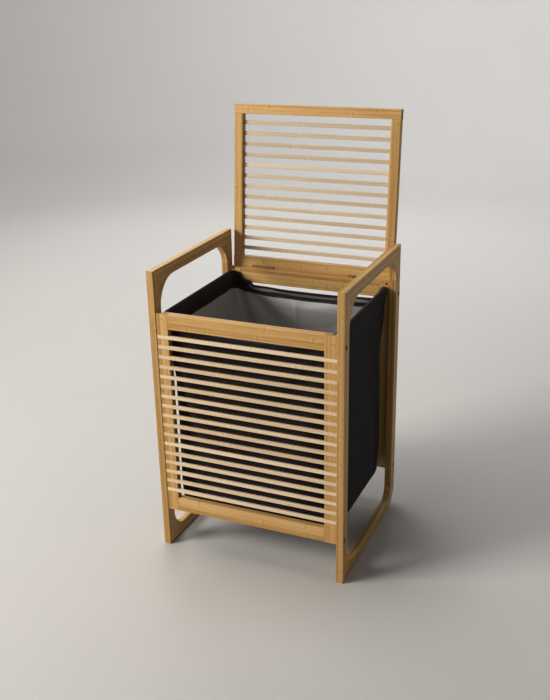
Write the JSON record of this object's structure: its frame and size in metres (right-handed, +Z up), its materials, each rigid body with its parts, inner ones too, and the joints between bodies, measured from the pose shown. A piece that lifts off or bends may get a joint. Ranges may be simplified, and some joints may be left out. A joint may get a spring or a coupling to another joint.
{
  "type": "laundry hamper with lid",
  "caption": "Free-standing laundry hamper: two bamboo loop side frames with grip bars, slatted front and back panels, hanging cloth bag and hinged slatted lid.",
  "frame": {"origin": "on the floor, under the middle of the box that holds the hamper with its lid open", "axes": "+Z up along the greatest height, front panel towards -Y, hinged edge of the lid towards +Y, +X to the right of a person who faces the front panel"},
  "size_m": [0.4, 0.3932, 0.864],
  "materials": {
    "bamboo_frame": "satin clear lacquer on carbonised bamboo",
    "bamboo_slat": "satin clear lacquer on natural bamboo",
    "beech_dowel": "plain turned wood",
    "fibreboard": "thin board wrapped in dark cloth",
    "bag_fabric": "charcoal woven polyester outside, mid-grey lining inside",
    "hinge_metal": "antique brass plate, satin",
    "screw_steel": "bronzed steel",
    "bronzed_steel": "dark bronzed steel"
  },
  "bodies": {
    "frame": {"left_side_frame": "bamboo_frame", "right_side_frame": "bamboo_frame", "front_top_rail": "bamboo_frame", "front_bottom_rail": "bamboo_frame", "front_left_stile": "bamboo_frame", "front_right_stile": "bamboo_frame", "back_top_rail": "bamboo_frame", "back_bottom_rail": "bamboo_frame", "back_left_stile": "bamboo_frame", "back_right_stile": "bamboo_frame", "front_slat_01": "bamboo_slat", "front_slat_02": "bamboo_slat", "front_slat_03": "bamboo_slat", "front_slat_04": "bamboo_slat", "front_slat_05": "bamboo_slat", "front_slat_06": "bamboo_slat", "front_slat_07": "bamboo_slat", "front_slat_08": "bamboo_slat", "front_slat_09": "bamboo_slat", "front_slat_10": "bamboo_slat", "front_slat_11": "bamboo_slat", "front_slat_12": "bamboo_slat", "front_slat_13": "bamboo_slat", "front_slat_14": "bamboo_slat", "front_slat_15": "bamboo_slat", "front_slat_16": "bamboo_slat", "front_slat_17": "bamboo_slat", "back_slats": "bamboo_slat", "frame_bolts": "bronzed_steel", "barrel_nuts": "bronzed_steel", "frame_dowels": "beech_dowel", "left_hinge_frame_leaf": "hinge_metal", "right_hinge_frame_leaf": "hinge_metal", "hinge_pins": "hinge_metal", "hinge_screws_frame": "screw_steel", "bag_left_rod": "beech_dowel", "bag_right_rod": "beech_dowel", "bag_shell": "bag_fabric", "bag_base_board": "fibreboard"},
    "lid": {"lid_front_rail": "bamboo_frame", "lid_back_rail": "bamboo_frame", "lid_left_stile": "bamboo_frame", "lid_right_stile": "bamboo_frame", "lid_slat_01": "bamboo_slat", "lid_slat_02": "bamboo_slat", "lid_slat_03": "bamboo_slat", "lid_slat_04": "bamboo_slat", "lid_slat_05": "bamboo_slat", "lid_slat_06": "bamboo_slat", "lid_slat_07": "bamboo_slat", "lid_slat_08": "bamboo_slat", "lid_slat_09": "bamboo_slat", "lid_slat_10": "bamboo_slat", "lid_slat_11": "bamboo_slat", "lid_slat_12": "bamboo_slat", "lid_slat_13": "bamboo_slat", "lid_dowels": "beech_dowel", "left_hinge_lid_leaf": "hinge_metal", "right_hinge_lid_leaf": "hinge_metal", "hinge_screws_lid": "screw_steel"}
  },
  "joints": [
    {"name": "lid_hinge", "type": "hinge", "parent": "frame", "child": "lid", "pos_m": [0, 0.15143, 0.5175], "axis": [1, 0, 0], "range_deg": [0, 95]}
  ]
}
